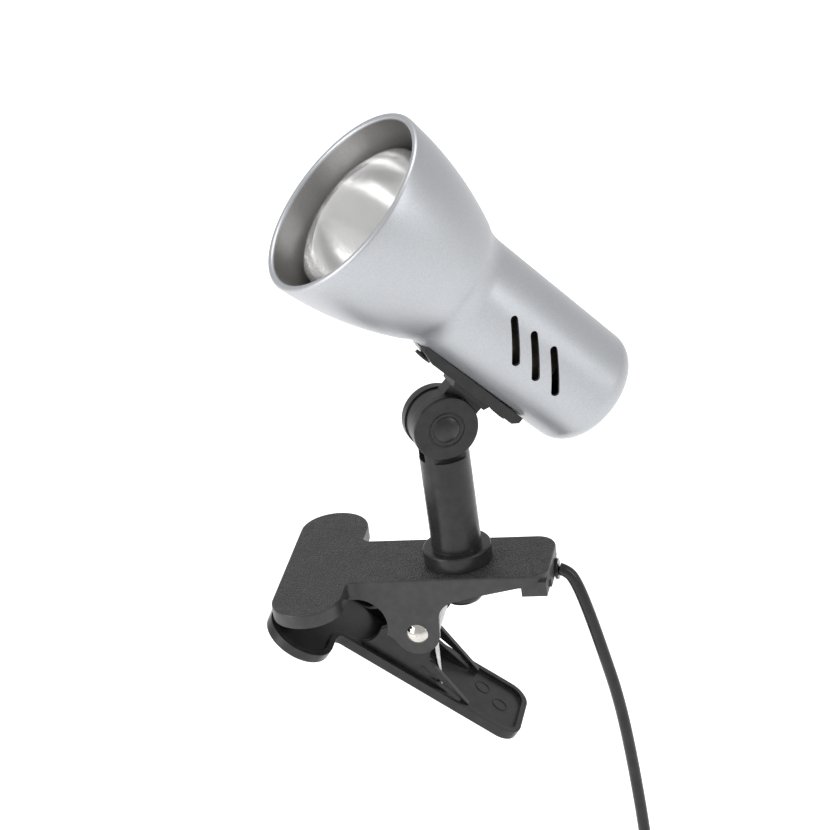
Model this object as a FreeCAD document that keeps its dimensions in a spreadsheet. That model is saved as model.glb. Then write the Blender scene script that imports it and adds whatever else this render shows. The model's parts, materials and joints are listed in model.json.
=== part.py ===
"""A clip-on reading lamp: a reflector lamp head on a short swivelling stem, held by a spring clamp.

Millimetres. The origin is the grip, where the closed jaws meet at their middle. +Z is square to the top
face of the upper jaw, and +X points from the grip along the lever to the end that the cord leaves.
"""

import FreeCAD, Part
import Sketcher
import math
import os
import re

SIZES = {
    # upper jaw, a plate shaped like a T with walls below it
    "jaw_top": 6.0,  # top face above the grip
    "jaw_plate": 3.0,
    "jaw_wall": 2.4,
    "jaw_front": -2.6,
    "jaw_length": 108.5,
    "bar_radius": 14.0,  # round ends of the cross bar
    "bar_width": 86.0,
    "lever_width": 34.5,
    "lever_wall_depth": 5.0,
    "corner_radius": 8.5,
    "web_fillet": 3.5,  # where the cross bar meets the lever
    # the ears that carry the pivot
    "pivot_x": 51.0,
    "pivot_drop": 18.5,
    "ear_radius": 9.0,
    "ear_hollow": 8.0,  # concave edge behind the ear
    "throat_x": 27.4,
    "throat_drop": 13.9,
    "throat_radius": 12.0,
    "rivet_radius": 2.5,
    "rivet_head": 4.3,
    "rivet_dome": 1.9,
    # lower jaw, in a frame whose origin is the pivot and whose X runs along the lever
    "grip_gap": 0.05,  # between the closed bars
    "lower_depth": 22.7,  # pivot to the outer face
    "lower_front": -54.5,
    "lower_length": 112.3,
    "lower_wall_depth": 4.5,
    "cheek_wall": 2.4,
    "cheek_radius": 8.0,
    "side_gap": 0.3,  # between the lower cheeks and the ears
    "running_gap": 0.05,  # on the radius of a turning pin
    "slot_width": 2.0,
    # torsion spring
    "spring_radius": 6.8,
    "spring_wire": 2.2,
    "spring_pitch": 2.8,
    "spring_turns": 8.0,
    "spring_gap": 0.3,  # between the spring's two halves
    "upper_leg": 25.0,  # reach of the leg under the plate, from the pivot
    "lower_leg": 20.0,
    "leg_gap": 0.3,
    "leg_inset": 0.7,
    # grip pads
    "pad_length": 58.0,
    "pad_width": 7.0,
    "pad_depth": 2.4,
    "pad_recess": 0.4,
    # rear end of the upper jaw and its cord exit
    "end_wall_drop": 3.3,
    "block_length": 11.0,
    "block_width": 15.0,
    "block_drop": 3.3,
    "exit_side": 4.0,
    "exit_drop": 2.2,
    "bush_radius": 4.2,
    "bush_flange": 1.6,
    # stem, in a frame whose Y is the tilt hinge
    "stem_x": 68.0,
    "stem_radius": 10.0,
    "stem_bore": 6.0,
    "collar_radius": 13.7,
    "collar_height": 6.7,
    "hinge_height": 61.0,  # above the jaw's top face
    "spigot_radius": 6.5,
    "retainer_radius": 8.5,
    "retainer_drop": 15.5,  # below the plate
    "knuckle_radius": 13.25,
    "knuckle_ear": 4.4,
    "knuckle_gap": 8.0,
    "tongue_gap": 0.1,  # between the tongue and each washer
    "washer": 0.5,
    "washer_radius": 9.0,
    "hinge_bolt": 3.0,
    "hinge_cap": 5.5,
    "hinge_cap_height": 1.5,
    "hinge_ring": 7.0,  # the groove on the knuckle's face
    "ring_width": 0.8,
    "ring_depth": 0.35,
    "disc_rise": 0.8,  # the knuckle's discs stand proud of the stem
    "slot_floor": 14.0,  # below the hinge, where the slot for the tongue ends
    "foot_top": 6.0,  # below the hinge, where the stem's walls end inside the discs
    "soft_edge": 0.8,
    "nut_height": 2.6,
    "swivel_rest": 208.0,
    "tilt_rest": 49.5,
    # lamp head, in a frame whose X runs forward along the head and whose origin is the hinge
    "head_axis": 44.7,
    "head_front": 93.6,
    "shade_length": 140.0,
    "mouth_radius": 40.3,
    "rim_radius": 1.4,
    "shade_wall": 1.3,
    "bell_length": 52.0,
    "bell_end_radius": 28.6,
    "bell_arc": 150.0,
    "neck_at": 63.0,
    "neck_radius": 25.2,
    "neck_arc": 22.0,
    "tail_radius": 24.2,
    "tail_round": 10.0,
    "vent_first": 83.2,
    "vent_pitch": 11.0,
    "vent_length": 21.0,
    "vent_width": 3.2,
    "vent_slant": 45.0,
    # reflector bulb and its holder, stations measured back from the mouth
    "bulb_front": 0.0,
    "bulb_radius": 31.5,
    "bulb_dome": 9.5,  # height of the domed front
    "bulb_shoulder": 4.0,
    "bulb_neck_at": 62.0,
    "bulb_neck": 15.5,
    "cap_front": 78.0,
    "cap_radius": 13.1,
    "cap_length": 24.0,
    "holder_front": 76.0,
    "holder_length": 44.0,
    "holder_radius": 19.0,
    "holder_bore": 14.6,
    "shell_wall": 0.5,
    # bracket between the head and the stem
    "bracket_front": 30.2,
    "bracket_length": 52.4,
    "bracket_width": 20.0,
    "bracket_depth": 2.4,
    "neck_block_length": 17.0,
    "neck_block_width": 12.0,
    "bracket_screw": 2.0,
    "screw_head": 3.6,
    "screw_head_height": 1.1,
    "front_screw": 6.0,  # back from the bracket's front end
    "rear_screw": 47.4,
    # cord and what is on it
    "cord_radius": 2.5,
    "coil_mid": 29.0,
    "coil_bundle": 9.8,
    "coil_x": 103.5,
    "coil_z": -247.0,
    "switch_x": 129.9,
    "switch_z": -165.0,
    "switch_length": 58.0,
    "switch_width": 24.0,
    "switch_depth": 14.0,
    "switch_round": 6.0,
    "switch_rocker": 16.0,
    "switch_pivot": 3.0,
    "rocker_width": 8.4,
    "axle_reach": 1.5,  # into each side of the cover
    "axle_radius": 1.1,
    "plug_radius": 9.0,
    "plug_length": 38.0,
    "plug_thickness": 13.0,
    "plug_grip_at": 22.0,  # where the wide grip starts, below the cuff
    "pin_radius": 2.0,
    "pin_length": 19.0,
    "pin_spacing": 19.0,
}

# The cord's route from the bush to the coil, and from the coil to the plug.
DROP_ROUTE = [
    (107.3, 4.0, -2.2),
    (110.9, 4.0, -3.6),
    (113.6, 4.0, -9.0),
    (116.6, 4.0, -20.0),
    (120.4, 4.0, -38.0),
    (125.4, 4.2, -64.0),
    (128.2, 4.4, -98.0),
    (129.9, 4.0, -136.0),
]
HANG_ROUTE = [
    (129.9, 4.0, -194.0),
    (130.3, 4.0, -202.0),
    (133.7, 4.0, -216.5),
    (138.4, 4.0, -230.5),
]
TAIL_ROUTE = [
    (138.2, -0.6, -264.0),
    (138.5, -0.6, -274.0),
    (138.3, -0.6, -283.0),
]

doc = FreeCAD.newDocument("clip_lamp")
sheet = doc.addObject("Spreadsheet::Sheet", "Sheet")
for line, (alias, amount) in enumerate(SIZES.items(), start=1):
    sheet.set(f"A{line}", str(amount))
    sheet.setAlias(f"A{line}", alias)
doc.recompute()

FUNCTIONS = {"sin", "cos", "tan", "sqrt", "atan", "placement", "vector", "rotation", "min", "max"}
finished = []


def linked(text):
    """An expression of the sheet's names, as an object's property needs it."""
    names = re.compile(r"[a-z][a-z_]*")
    return names.sub(lambda m: m[0] if m[0] in FUNCTIONS else "Sheet." + m[0], str(text))


def number(text):
    """What an expression of the sheet's names comes to."""
    sheet.set("C1", "=" + str(text))
    sheet.recompute()
    found = float(sheet.get("C1"))
    sheet.clear("C1")
    return found


def frame(x, y, z, yaw="0", pitch="0", roll="0"):
    """A placement, as an expression."""
    return f"placement(vector({x}; {y}; {z}); rotation({yaw}; {pitch}; {roll}))"


REACH = "(-lower_front)"
DEPTH = "(lower_depth - lower_wall_depth)"
DROP = "(pivot_drop - grip_gap)"
# the slope at which the lower bar's front edge meets the upper bar's
LEVEL = f"sqrt({REACH} * {REACH} + {DEPTH} * {DEPTH} - {DROP} * {DROP})"
SLOPE = f"(atan({DEPTH} / {REACH}) + atan({DROP} / {LEVEL}))"
TONGUE = "(knuckle_gap - 2 * washer - 2 * tongue_gap)"
CLAMP = frame("0", "0", "0")
LOWER = frame("pivot_x", "0", "-pivot_drop", "0", SLOPE)
STEM = frame("stem_x", "0", "jaw_top", "swivel_rest")
HEAD = frame("stem_x", "0", "jaw_top + hinge_height", "swivel_rest", "-tilt_rest")
SHADE = HEAD + " * " + frame("head_front", "0", "head_axis", "180")  # X runs back from the mouth
AXIS_TURN = {"X": ("0", "90", "0"), "Y": ("0", "0", "-90"), "Z": ("0", "0", "0")}


def place(thing, x, y, z, turn=("0", "0", "0")):
    thing.setExpression("Placement", linked(frame(x, y, z, *turn)))
    return thing


def box(name, low, size):
    made = doc.addObject("Part::Box", name)
    for side, text in zip(("Length", "Width", "Height"), size):
        made.setExpression(side, linked(text))
    return place(made, *low)


def cylinder(name, start, radius, length, axis="Z"):
    """A cylinder from start along an axis."""
    made = doc.addObject("Part::Cylinder", name)
    made.setExpression("Radius", linked(radius))
    made.setExpression("Height", linked(length))
    return place(made, *start, AXIS_TURN[axis])


def fuse(name, *things):
    made = doc.addObject("Part::MultiFuse", name)
    made.Shapes = list(things)
    made.Refine = True
    return made


def cut(name, base, *tools):
    made = doc.addObject("Part::Cut", name)
    made.Base = base
    made.Tool = tools[0] if len(tools) == 1 else fuse(name + "_tools", *tools)
    made.Refine = True
    return made


def keep(label, made, where):
    """Names a sub-part and puts it where it belongs."""
    made.Label = label
    made.setExpression("Placement", linked(where))
    finished.append(made)
    return made


def arc_between(p, q, radius, left):
    """The short arc from p to q, whose centre lies on the left of the way from p to q, or on the right."""
    middle, along = (p + q) * 0.5, q - p
    reach = math.sqrt(max(radius**2 - (along.Length / 2) ** 2, 0))
    side = FreeCAD.Vector(-along.y, along.x, 0).normalize() * (reach if left else -reach)
    centre = middle + side
    first, last = (p, q) if left else (q, p)
    angles = [math.atan2(v.y - centre.y, v.x - centre.x) for v in (first, last)]
    circle = Part.Circle(centre, FreeCAD.Vector(0, 0, 1), radius)
    return Part.ArcOfCircle(circle, *angles)


def outline(body, points):
    """A closed sketch on the body's XY plane. A point is (x, y), or (x, y, side, radius) before an arc."""
    sketch = body.newObject("Sketcher::SketchObject", body.Name + "_outline")
    plane = next(o for o in body.Origin.OriginFeatures if o.Role == "XY_Plane")
    sketch.AttachmentSupport = [(plane, "")]
    sketch.MapMode = "FlatFace"
    spots = [FreeCAD.Vector(number(point[0]), number(point[1]), 0) for point in points]
    ends = []
    for i, point in enumerate(points):
        p, q = spots[i], spots[(i + 1) % len(spots)]
        if len(point) == 2:
            sketch.addGeometry(Part.LineSegment(p, q), False)
            ends.append((1, 2))
        else:
            left = point[2] == "left"
            sketch.addGeometry(arc_between(p, q, number(point[3]), left), False)
            ends.append((1, 2) if left else (2, 1))
    for i in range(len(points)):
        following = (i + 1) % len(points)
        sketch.addConstraint(
            Sketcher.Constraint("Coincident", i, ends[i][1], following, ends[following][0])
        )
    for i, point in enumerate(points):
        for kind, text in (("DistanceX", point[0]), ("DistanceY", point[1])):
            where = sketch.addConstraint(
                Sketcher.Constraint(kind, -1, 1, i, ends[i][0], number(text))
            )
            sketch.setExpression(f"Constraints[{where}]", linked(text))
        if len(point) > 2:
            where = sketch.addConstraint(Sketcher.Constraint("Radius", i, number(point[3])))
            sketch.setExpression(f"Constraints[{where}]", linked(point[3]))
    return sketch


def prism(name, points, height, spot=("0", "0", "0"), turn=("0", "0", "0")):
    """An outline padded along its normal."""
    body = doc.addObject("PartDesign::Body", name)
    sketch = outline(body, points)
    pad = body.newObject("PartDesign::Pad", name + "_pad")
    pad.Profile = sketch
    pad.setExpression("Length", linked(height))
    body.Tip = pad
    return place(body, *spot, turn)


def side_prism(name, points, y_low, y_high):
    """An outline in X and Z, padded from y_low to y_high."""
    return prism(name, points, f"({y_high}) - ({y_low})", ("0", y_high, "0"), ("0", "0", "90"))


def revolved(name, points):
    """An outline in X and radius, turned about X."""
    body = doc.addObject("PartDesign::Body", name)
    sketch = outline(body, points)
    turned = body.newObject("PartDesign::Revolution", name + "_turned")
    turned.Profile = sketch
    turned.ReferenceAxis = (sketch, ["H_Axis"])
    turned.Angle = 360
    body.Tip = turned
    return body


def soften(body, radius, direction):
    """Rounds the edges round the flat outer face that looks along a direction of the body's own pad."""
    doc.recompute()
    pad = body.Tip
    looks = FreeCAD.Vector(*direction)
    ends = [face for face in pad.Shape.Faces if face.normalAt(0, 0).getAngle(looks) < 1e-6]
    highest = max(face.CenterOfMass.dot(looks) for face in ends)
    names = [
        f"Face{i}"
        for i, face in enumerate(pad.Shape.Faces, start=1)
        if face.normalAt(0, 0).getAngle(looks) < 1e-6 and face.CenterOfMass.dot(looks) > highest - 1e-6
    ]
    rounded = body.newObject("PartDesign::Fillet", body.Name + "_rounded")
    rounded.Base = (pad, names)
    rounded.setExpression("Radius", linked(radius))
    body.Tip = rounded
    return body


def rod(name, start, end, radius):
    """A round bar between two points given as numbers."""
    made = doc.addObject("Part::Feature", name)
    p, q = FreeCAD.Vector(*start), FreeCAD.Vector(*end)
    made.Shape = Part.makeCylinder(radius, (q - p).Length, p, q - p)
    return made


def t_plate(name, front, length, bottom, top, inset="0"):
    """The T-shaped outline of a jaw: a cross bar with round ends, and a lever with round corners."""
    radius = f"(bar_radius - {inset})"
    middle = f"({front} + bar_radius)"
    half = f"(bar_width / 2 - bar_radius)"
    side = f"(lever_width / 2 - {inset})"
    rear = f"({front} + {length} - {inset})"
    corner = f"(corner_radius - {inset})"
    fillet = f"(web_fillet + {inset})"
    back = f"({middle} + {radius})"
    points = [
        (f"{middle} - {radius}", f"{half}"),
        (f"{middle} - {radius}", f"-{half}", "left", radius),
        (middle, f"-{half} - {radius}", "left", radius),
        (back, f"-{half}"),
        (back, f"-{side} - {fillet}", "right", fillet),
        (f"{back} + {fillet}", f"-{side}"),
        (f"{rear} - {corner}", f"-{side}", "left", corner),
        (rear, f"-{side} + {corner}"),
        (rear, f"{side} - {corner}", "left", corner),
        (f"{rear} - {corner}", side),
        (f"{back} + {fillet}", side, "right", fillet),
        (back, f"{side} + {fillet}"),
        (back, half, "left", radius),
        (middle, f"{half} + {radius}", "left", radius),
    ]
    return prism(name, points, f"({top}) - ({bottom})", ("0", "0", bottom))


def upper_jaw():
    solid = t_plate("upper_outer", "jaw_front", "jaw_length", "0", "jaw_top")
    soften(solid, "soft_edge", (0, 0, 1))
    hollow = t_plate(
        "upper_hollow", "jaw_front", "jaw_length", "-1", "jaw_top - jaw_plate", "jaw_wall"
    )
    shallow = box(
        "upper_shallow",
        ("jaw_front + 2 * bar_radius + web_fillet", "-lever_width", "-1"),
        ("jaw_length", "2 * lever_width", "1 + jaw_top - lever_wall_depth"),
    )
    shell = cut("upper_shell", solid, hollow, shallow)
    ears = []
    for name, low in (("near", "-lever_width / 2"), ("far", "lever_width / 2 - jaw_wall")):
        high = f"{low} + jaw_wall"
        cheek = side_prism(
            f"upper_cheek_{name}",
            [
                ("throat_x - 2.4", "jaw_top - jaw_plate"),
                ("throat_x - 2.4", "-throat_drop + 6"),
                ("throat_x + 13.6", "-throat_drop - 6.1"),
                ("pivot_x - 7.8", "-pivot_drop - 4.4"),
                ("pivot_x + 8.7", "-pivot_drop - 2.2"),
                ("pivot_x + 9.4", "-pivot_drop + 6.0", "right", "ear_hollow"),
                ("pivot_x + 16.5", "-pivot_drop + 13.9"),
                ("pivot_x + 25", "-pivot_drop + 16.1"),
                ("pivot_x + 43", "jaw_top - lever_wall_depth"),
                ("pivot_x + 43", "jaw_top - jaw_plate"),
            ],
            low,
            high,
        )
        eye = cylinder(f"upper_eye_{name}", ("pivot_x", low, "-pivot_drop"), "ear_radius", "jaw_wall", "Y")
        ears += [cheek, eye]
    low = "jaw_front + jaw_length - jaw_wall"
    end_wall = box(
        "end_wall",
        (low, "-lever_width / 2 + corner_radius", "-end_wall_drop"),
        ("jaw_wall", "lever_width - 2 * corner_radius", "end_wall_drop + jaw_top - jaw_plate"),
    )
    block = box(
        "end_block",
        ("jaw_front + jaw_length - block_length", "-lever_width / 2 + 1", "-block_drop"),
        ("block_length - 0.8", "block_width", "block_drop + jaw_top - jaw_plate"),
    )
    boss = cylinder(
        "swivel_boss", ("stem_x", "0", "jaw_top - jaw_plate - 2"), "spigot_radius + 2.5", "2 + jaw_plate / 2"
    )
    whole = fuse("upper_whole", shell, *ears, end_wall, block, boss)
    throat = cylinder(
        "upper_throat", ("throat_x", "-lever_width", "-throat_drop"), "throat_radius", "2 * lever_width", "Y"
    )
    rivet_hole = cylinder(
        "upper_rivet_hole", ("pivot_x", "-lever_width", "-pivot_drop"), "rivet_radius", "2 * lever_width", "Y"
    )
    stem_hole = cylinder(
        "stem_hole", ("stem_x", "0", "-20"), "spigot_radius + running_gap", "20 + jaw_top + 1"
    )
    bush_hole = cylinder(
        "bush_hole",
        ("jaw_front + jaw_length - block_length", "exit_side", "-exit_drop"),
        "bush_radius - bush_flange",
        "2 * block_length",
        "X",
    )
    body = cut("upper_jaw_body", whole, throat, rivet_hole, stem_hole, bush_hole)
    keep("upper_jaw", body, CLAMP)


def lower_jaw():
    solid = t_plate(
        "lower_outer", "lower_front", "lower_length", "-lower_depth", "-lower_depth + lower_wall_depth"
    )
    soften(solid, "soft_edge", (0, 0, -1))
    hollow = t_plate(
        "lower_hollow", "lower_front", "lower_length", "-lower_depth + jaw_plate", "0", "jaw_wall"
    )
    shell = cut("lower_shell", solid, hollow)
    outer = "lever_width / 2 - jaw_wall - side_gap"
    sides = {"near": (f"-({outer})", f"-({outer}) + cheek_wall"), "far": (f"{outer} - cheek_wall", outer)}
    cheeks = []
    slots = []
    for name, (low, high) in sides.items():
        cheek = side_prism(
            f"lower_cheek_{name}",
            [
                ("-cheek_radius", "0"),
                ("-cheek_radius - 1", "-3"),
                ("-21.5", "-lower_depth + jaw_plate - 0.3"),
                ("33.8", "-lower_depth + jaw_plate - 0.3"),
                ("33.8", "-lower_depth + lower_wall_depth + 0.3"),
                ("10.5", "-9.5", "right", "20"),
                ("cheek_radius", "-0.5"),
            ],
            low,
            high,
        )
        eye = cylinder(f"lower_eye_{name}", ("0", low, "0"), "cheek_radius", "cheek_wall", "Y")
        cheeks += [cheek, eye]
        slots.append(
            side_prism(
                f"lower_slot_{name}",
                [
                    ("9.1", "-15.0"),
                    ("30.4", "-19.4"),
                    ("30.8", "-19.4 + slot_width"),
                    ("9.5", "-15.0 + slot_width"),
                ],
                f"({low}) - 1",
                f"({high}) + 1",
            )
        )
    whole = fuse("lower_whole", shell, *cheeks)
    throat = cylinder(
        "lower_throat",
        ("-21.5", "-lever_width / 2 + jaw_wall", "-10.8"),
        "throat_radius - 3.1",
        "lever_width - 2 * jaw_wall",
        "Y",
    )
    hole = cylinder(
        "lower_rivet_hole", ("0", "-lever_width", "0"), "rivet_radius + running_gap", "2 * lever_width", "Y"
    )
    body = cut("lower_jaw_body", whole, throat, hole, *slots)
    keep("lower_jaw", body, LOWER)


def grip_pads():
    """Ridged rubber strips inside the cross bars."""
    pads = (
        ("upper_grip_pad", "jaw_front + jaw_wall + 0.4", "jaw_top - jaw_plate - pad_depth", CLAMP),
        ("lower_grip_pad", "lower_front + jaw_wall + 0.4", "-lower_depth + jaw_plate", LOWER),
    )
    for label, front, bottom, where in pads:
        size = ("pad_width", "pad_length", "pad_depth")
        strip = box(label + "_strip", (front, "-pad_length / 2", bottom), size)
        groove_z = bottom if where is CLAMP else f"{bottom} + pad_depth"
        grooves = [
            cylinder(
                f"{label}_groove_{i}",
                (f"{front} + pad_width * {i} / 4", "-pad_length", groove_z),
                "0.5",
                "2 * pad_length",
                "Y",
            )
            for i in (1, 2, 3)
        ]
        keep(label, cut(label + "_body", strip, *grooves), where)


def pivot_rivet():
    half = "(lever_width / 2)"
    dome = "(rivet_head * rivet_head + rivet_dome * rivet_dome) / (2 * rivet_dome)"
    body = revolved(
        "rivet",
        [
            (f"-{half} - rivet_dome", "0", "right", dome),
            (f"-{half}", "rivet_head"),
            (f"-{half}", "rivet_radius"),
            (half, "rivet_radius"),
            (half, "rivet_head", "right", dome),
            (f"{half} + rivet_dome", "0"),
        ],
    )
    keep("pivot_rivet", body, frame("pivot_x", "0", "-pivot_drop", "90"))


def jaw_spring():
    """A torsion spring round the rivet, in two halves that turn on it, each with one leg.

    In a half's own frame X is the clamp's X, Y is its Z, and Z runs along the rivet to the near side. The
    leg of the upper half lies under the plate, and the leg of the lower half lies on the lever.
    """
    turns = int(SIZES["spring_turns"]) // 2
    half = f"(spring_pitch * {turns})"
    crest = "(spring_radius + 0.45 * spring_wire)"
    inside = "spring_radius - spring_wire / 2"
    wire = number("spring_wire / 2")
    slope = math.radians(number(SLOPE))
    floor = number("lower_depth - jaw_plate - leg_gap") - wire
    roof = number("pivot_drop + jaw_top - jaw_plate - leg_gap") - wire
    down = FreeCAD.Vector(math.cos(slope), -math.sin(slope), 0)
    inward = FreeCAD.Vector(math.sin(slope), math.cos(slope), 0)
    foot = down * number("lower_leg") - inward * floor
    inset = number("leg_inset")
    halves = (
        ("upper", f"spring_gap / 2 + {half}", inset, (number("upper_leg"), roof)),
        ("lower", "-spring_gap / 2", number(half) - inset, (foot.x, foot.y)),
    )
    for name, start, along, tip in halves:
        bumps = [(f"spring_pitch * {i}", crest, "right", "spring_pitch * 0.55") for i in range(turns)]
        wound = revolved(f"spring_wound_{name}", [("0", inside), *bumps, (half, crest), (half, inside)])
        coil = place(wound, "0", "0", "0", ("0", "-90", "0"))
        leg = rod(f"spring_leg_{name}", (number("spring_radius"), 0, along), (*tip, along), wire)
        whole = fuse(f"spring_{name}", coil, leg)
        keep(f"jaw_spring_{name}", whole, frame("pivot_x", start, "-pivot_drop", "0", "0", "90"))


def stem_halves():
    """Two moulded half shells that meet in the plane square to the tilt hinge."""
    half_gap = "(knuckle_gap / 2)"
    ear_out = f"({half_gap} + knuckle_ear)"
    slot_bottom = "(hinge_height - slot_floor)"
    column = cylinder("stem_column", ("0", "0", "0"), "stem_radius", slot_bottom)
    collar = revolved(
        "stem_collar",
        [
            ("0", "0"),
            ("0", "collar_radius"),
            ("collar_height - soft_edge", "collar_radius", "right", "soft_edge"),
            ("collar_height", "collar_radius - soft_edge"),
            ("collar_height", "0"),
        ],
    )
    place(collar, "0", "0", "0", ("0", "-90", "0"))
    spigot = cylinder("stem_spigot", ("0", "0", "-jaw_plate - 2.2"), "spigot_radius", "jaw_plate + 3")
    ears = []
    sides = (
        ("near", half_gap, "90", half_gap),
        ("far", f"-{half_gap}", "-90", f"-{ear_out} + disc_rise"),
    )
    for name, inner, outward, low in sides:
        eye = revolved(
            f"stem_eye_{name}",
            [
                ("0", "0"),
                ("0", "knuckle_radius"),
                ("knuckle_ear - soft_edge", "knuckle_radius", "right", "soft_edge"),
                ("knuckle_ear", "knuckle_radius - soft_edge"),
                ("knuckle_ear", "0"),
            ],
        )
        ears.append(place(eye, "0", inner, "hinge_height", (outward, "0", "0")))
        core = cylinder(
            f"stem_core_{name}", ("0", "0", f"{slot_bottom} - 1"), "stem_radius", "slot_floor - foot_top + 1"
        )
        side = box(
            f"stem_foot_side_{name}",
            ("-stem_radius", low, f"{slot_bottom} - 1"),
            ("2 * stem_radius", "knuckle_ear - disc_rise", "slot_floor"),
        )
        foot = doc.addObject("Part::Common", f"stem_foot_{name}")
        foot.Base = core
        foot.Tool = side
        ears.append(foot)
    whole = fuse("stem_whole", column, collar, spigot, *ears)
    bore_top = "hinge_height - knuckle_radius - 6"
    bore = cylinder("stem_bore_cut", ("0", "0", "-10"), "stem_bore - 2", "10 + " + bore_top)
    bolt = cylinder(
        "stem_bolt_cut", ("0", "-stem_radius * 2", "hinge_height"), "hinge_bolt", "stem_radius * 4", "Y"
    )
    ring_floor = ("0", f"{ear_out} - ring_depth", "hinge_height")
    ring_out = cylinder("stem_ring_out", ring_floor, "hinge_ring + ring_width / 2", "1", "Y")
    ring_in = cylinder("stem_ring_in", ring_floor, "hinge_ring - ring_width / 2", "1", "Y")
    ring = cut("stem_ring", ring_out, ring_in)
    solid = cut("stem_solid", whole, bore, bolt, ring)
    reach = "4 * stem_radius"
    for label, low in (("stem_front_half", f"-{reach}"), ("stem_rear_half", "0")):
        side = box(label + "_side", (f"-{reach}", low, "-20"), (f"2 * {reach}", reach, "100"))
        made = doc.addObject("Part::Common", label + "_body")
        made.Base = solid
        made.Tool = side
        keep(label, made, STEM)


def stem_fittings():
    """The hinge bolt with its domed cap, its nut, the washers by the tongue, and the swivel's retainer."""
    ear_out = "(knuckle_gap / 2 + knuckle_ear)"
    cap_arc = "(hinge_cap * hinge_cap + hinge_cap_height * hinge_cap_height) / (2 * hinge_cap_height)"
    bolt = revolved(
        "bolt",
        [
            (f"-{ear_out} - hinge_cap_height", "0", "right", cap_arc),
            (f"-{ear_out}", "hinge_cap"),
            (f"-{ear_out}", "hinge_bolt"),
            (f"{ear_out} + 3", "hinge_bolt"),
            (f"{ear_out} + 3", "0"),
        ],
    )
    keep("hinge_bolt", bolt, STEM + " * " + frame("0", "0", "hinge_height", "-90"))
    prism_nut = doc.addObject("Part::Prism", "hinge_nut_hex")
    prism_nut.Polygon = 6
    prism_nut.setExpression("Circumradius", linked("hinge_bolt * 1.95"))
    prism_nut.setExpression("Height", linked("nut_height"))
    place(prism_nut, "0", f"-{ear_out} - nut_height", "hinge_height", AXIS_TURN["Y"])
    nut_hole = cylinder(
        "hinge_nut_hole", ("0", f"-{ear_out} - nut_height", "hinge_height"), "hinge_bolt", "nut_height", "Y"
    )
    keep("hinge_nut", cut("hinge_nut_body", prism_nut, nut_hole), STEM)
    rings = []
    for name, low in (("near", "-knuckle_gap / 2"), ("far", "knuckle_gap / 2 - washer")):
        disc = cylinder(f"washer_disc_{name}", ("0", low, "hinge_height"), "washer_radius", "washer", "Y")
        hole = cylinder(f"washer_hole_{name}", ("0", low, "hinge_height"), "hinge_bolt", "washer", "Y")
        rings.append(cut(f"washer_{name}", disc, hole))
    keep("hinge_washers", fuse("washers", *rings), STEM)
    top = "-jaw_plate - 2"
    dome = revolved(
        "retainer_dome",
        [
            ("0.1", "0"),
            ("0.1", "retainer_radius - 1.5"),
            ("1.6", "retainer_radius"),
            ("retainer_drop - 6", "retainer_radius", "right", "4"),
            ("retainer_drop - 2", "retainer_radius - 4"),
            ("retainer_drop - 2", "0"),
        ],
    )
    place(dome, "0", "0", top, ("0", "90", "0"))
    pocket = cylinder("retainer_pocket", ("0", "0", top + " - 1.6"), "spigot_radius", "2")
    lead = cylinder("retainer_lead", ("0", "0", "-jaw_plate - 30"), "stem_bore - 2", "40")
    keep("stem_retainer", cut("retainer_body", dome, pocket, lead), STEM)
    lead_length = "jaw_plate + 5 + hinge_height - knuckle_radius - 8"
    wire = cylinder("lead_wire", ("0", "0", "-jaw_plate - 6"), "1.8", lead_length)
    keep("stem_lead", wire, STEM + " * " + frame("0", "0", "-jaw_plate - 6"))


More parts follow.
